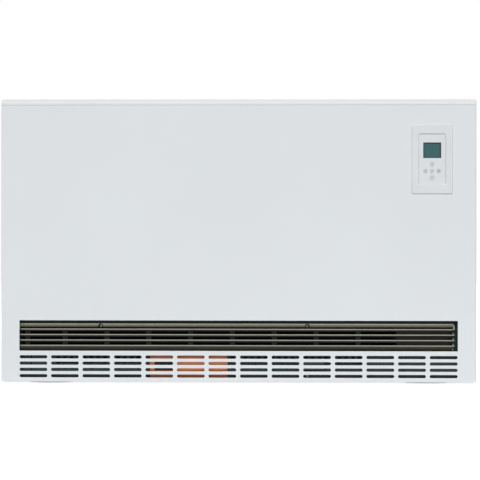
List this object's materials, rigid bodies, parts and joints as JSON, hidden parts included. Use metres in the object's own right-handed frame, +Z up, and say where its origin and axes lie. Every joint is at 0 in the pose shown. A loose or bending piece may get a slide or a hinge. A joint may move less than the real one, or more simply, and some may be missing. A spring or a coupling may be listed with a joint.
{
  "type": "storage heater",
  "caption": "Fan-assisted storage heater: white sheet-steel casing, wide outlet grille and intake slots low on the front, keypad panel with a display at the upper right.",
  "frame": {"origin": "middle of the footprint's box, on the floor under the foot rails", "axes": "+Z up; the front with the grille faces -Y; +X is to the right for someone facing the front"},
  "size_m": [1.13, 0.25, 0.676],
  "materials": {
    "casing_enamel": "smooth white enamel on steel",
    "panel_plastic": "fine-grained pale plastic",
    "button_plastic": "smooth pale plastic",
    "display_glass": "smoked clear window",
    "grille_enamel": "bronze grey enamel",
    "galvanised_steel": "galvanised sheet",
    "copper_sheet": "copper coloured enamel",
    "khaki_sheet": "khaki enamel",
    "aluminium": "plain aluminium",
    "bright_steel": "zinc plated",
    "lamination": "stacked laminations",
    "brick": "dense refractory",
    "insulation": "pressed mineral board",
    "dark_plastic": "black plastic",
    "pale_plastic": "natural plastic",
    "board": "green circuit board",
    "coil_tape": "taped winding",
    "bronze": "sintered bronze",
    "rubber": "black rubber",
    "wire_sheath": "glass-fibre sleeving"
  },
  "bodies": {
    "heater": {"back_panel": "galvanised_steel", "base_tray": "galvanised_steel", "bimetal_strip": "bronze", "bottom_insulation": "insulation", "cable_grommet": "rubber", "control_board": "board", "control_frame": "panel_plastic", "control_housing": "dark_plastic", "control_plate": "panel_plastic", "core_tray": "galvanised_steel", "display_module": "dark_plastic", "display_window": "display_glass", "duct_floor": "galvanised_steel", "duct_rear_wall": "galvanised_steel", "fan_bearings": "bronze", "fan_end_plates": "galvanised_steel", "fan_lead_connector": "pale_plastic", "fan_scroll": "galvanised_steel", "flap_brackets": "galvanised_steel", "foot_rails": "galvanised_steel", "front_panel": "casing_enamel", "grille_bottom_rail": "grille_enamel", "grille_end_plates": "grille_enamel", "grille_slats": "grille_enamel", "grille_supports": "grille_enamel", "grille_top_rail": "grille_enamel", "heater_leads": "wire_sheath", "heating_elements": "bright_steel", "inner_front_wall": "galvanised_steel", "inner_top_cover": "galvanised_steel", "intake_screen": "galvanised_steel", "left_inner_wall": "galvanised_steel", "left_side_panel": "casing_enamel", "motor_brackets": "galvanised_steel", "motor_coil": "coil_tape", "motor_cover": "copper_sheet", "motor_stator": "lamination", "outlet_blanking_plate": "khaki_sheet", "overheat_thermostat": "lamination", "partition_plate": "galvanised_steel", "power_board": "board", "right_side_panel": "casing_enamel", "screws": "bright_steel", "storage_bricks": "brick", "terminal_block": "pale_plastic", "top_cover": "casing_enamel", "top_insulation": "insulation", "vortex_tongue": "galvanised_steel", "wall_insulation": "insulation", "wall_spacers": "dark_plastic"},
    "fan_rotor": {"left_impeller": "aluminium", "right_impeller": "aluminium", "fan_shaft": "bright_steel", "motor_rotor": "lamination"},
    "flap": {"mixing_flap": "galvanised_steel"},
    "plus_button_body": {"plus_button": "button_plastic"},
    "centre_button_body": {"centre_button": "button_plastic"},
    "minus_button_body": {"minus_button": "button_plastic"},
    "left_button_body": {"left_button": "button_plastic"},
    "right_button_body": {"right_button": "button_plastic"}
  },
  "joints": [
    {"name": "fan_spin", "type": "hinge", "parent": "heater", "child": "fan_rotor", "pos_m": [0, -0.06, 0.042], "axis": [1, 0, 0], "continuous": true},
    {"name": "flap_swing", "type": "hinge", "parent": "heater", "child": "flap", "pos_m": [0, -0.0128, 0.1377], "axis": [-1, 0, 0], "range_deg": [0, 30]},
    {"name": "plus_button_press", "type": "slide", "parent": "heater", "child": "plus_button_body", "axis": [0, 1, 0], "range_m": [0, 0.0008], "stiffness_N_per_m": 800, "springref_m": -0.0012},
    {"name": "centre_button_press", "type": "slide", "parent": "heater", "child": "centre_button_body", "axis": [0, 1, 0], "range_m": [0, 0.0008], "stiffness_N_per_m": 800, "springref_m": -0.0012},
    {"name": "minus_button_press", "type": "slide", "parent": "heater", "child": "minus_button_body", "axis": [0, 1, 0], "range_m": [0, 0.0008], "stiffness_N_per_m": 800, "springref_m": -0.0012},
    {"name": "left_button_press", "type": "slide", "parent": "heater", "child": "left_button_body", "axis": [0, 1, 0], "range_m": [0, 0.0008], "stiffness_N_per_m": 800, "springref_m": -0.0012},
    {"name": "right_button_press", "type": "slide", "parent": "heater", "child": "right_button_body", "axis": [0, 1, 0], "range_m": [0, 0.0008], "stiffness_N_per_m": 800, "springref_m": -0.0012}
  ]
}
